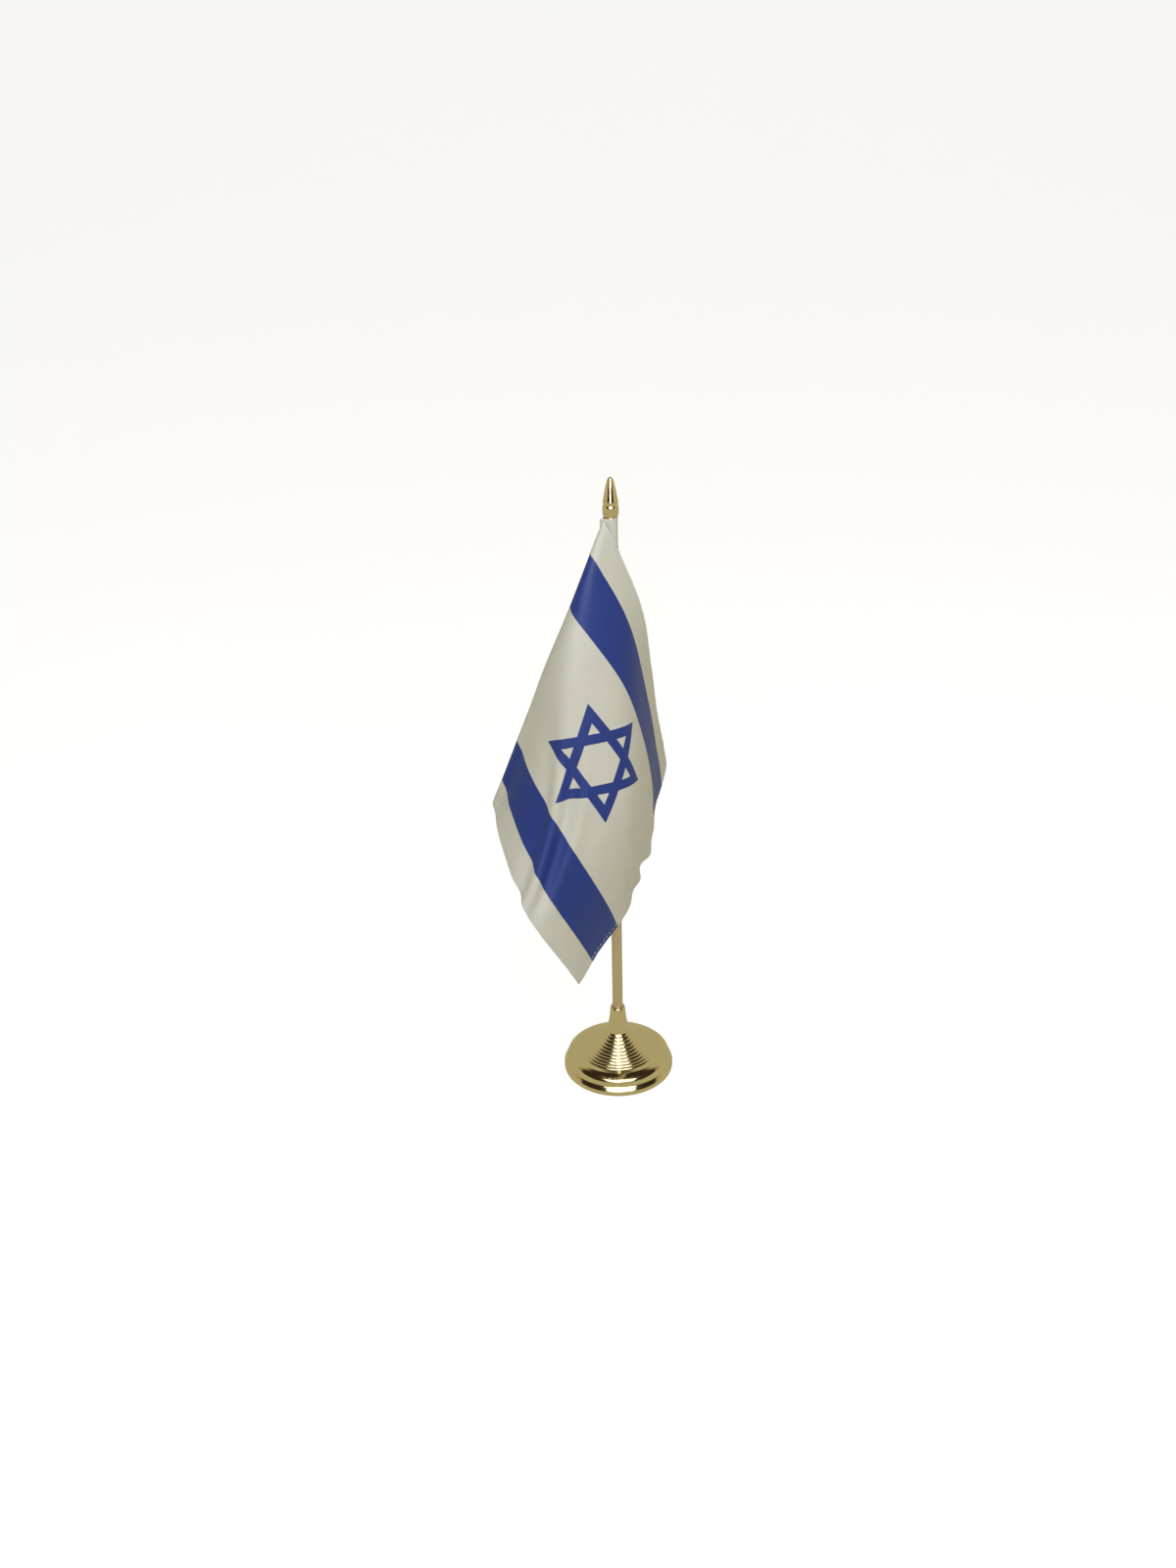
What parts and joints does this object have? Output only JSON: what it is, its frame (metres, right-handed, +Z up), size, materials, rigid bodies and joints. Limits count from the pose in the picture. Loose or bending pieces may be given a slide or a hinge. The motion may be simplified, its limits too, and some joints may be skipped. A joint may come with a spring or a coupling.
{
  "type": "desk flag stand",
  "caption": "Small table flag hanging limp on a slim round pole with a bullet finial, in a weighted round base with concentric steps and a trumpet neck.",
  "frame": {"origin": "centre of the felt pad's underside, on the pole's axis, where the stand meets the table", "axes": "+Z up along the pole; the flag hangs from the pole towards -X and -Y at rest"},
  "size_m": [0.0977, 0.1392, 0.36],
  "materials": {
    "gold_plating": "mirror-bright gold plating on ABS",
    "satin_gold": "satin gold paint on plastic tube",
    "black_plastic": "moulded, fine grain",
    "socket_plastic": "moulded, smooth",
    "ballast_steel": "pressed, raw",
    "felt": "short-pile felt",
    "flag_cloth": "printed satin polyester, white with two blue stripes and a blue six-pointed star outline"
  },
  "bodies": {
    "base": {"base_shell": "gold_plating", "bottom_cover": "black_plastic", "ballast_disc": "ballast_steel", "felt_pad": "felt"},
    "socket": {"socket_cup": "socket_plastic"},
    "pole": {"pole_tube": "satin_gold"},
    "finial": {"finial": "gold_plating"},
    "flag": {"hoist_sleeve": "flag_cloth", "flag_panel": "flag_cloth"}
  },
  "joints": [
    {"name": "pole_swivel", "type": "hinge", "parent": "base", "child": "socket", "pos_m": [0, 0, 0.0135], "axis": [0, 0, 1], "continuous": true},
    {"name": "pole_lift", "type": "slide", "parent": "socket", "child": "pole", "axis": [0, 0, 1], "range_m": [0, 0.04]},
    {"name": "finial_pull", "type": "slide", "parent": "pole", "child": "finial", "axis": [0, 0, 1], "range_m": [0, 0.012]},
    {"name": "flag_swing", "type": "hinge", "parent": "pole", "child": "flag", "pos_m": [0, 0, 0.256], "axis": [0, 0, 1], "continuous": true}
  ]
}
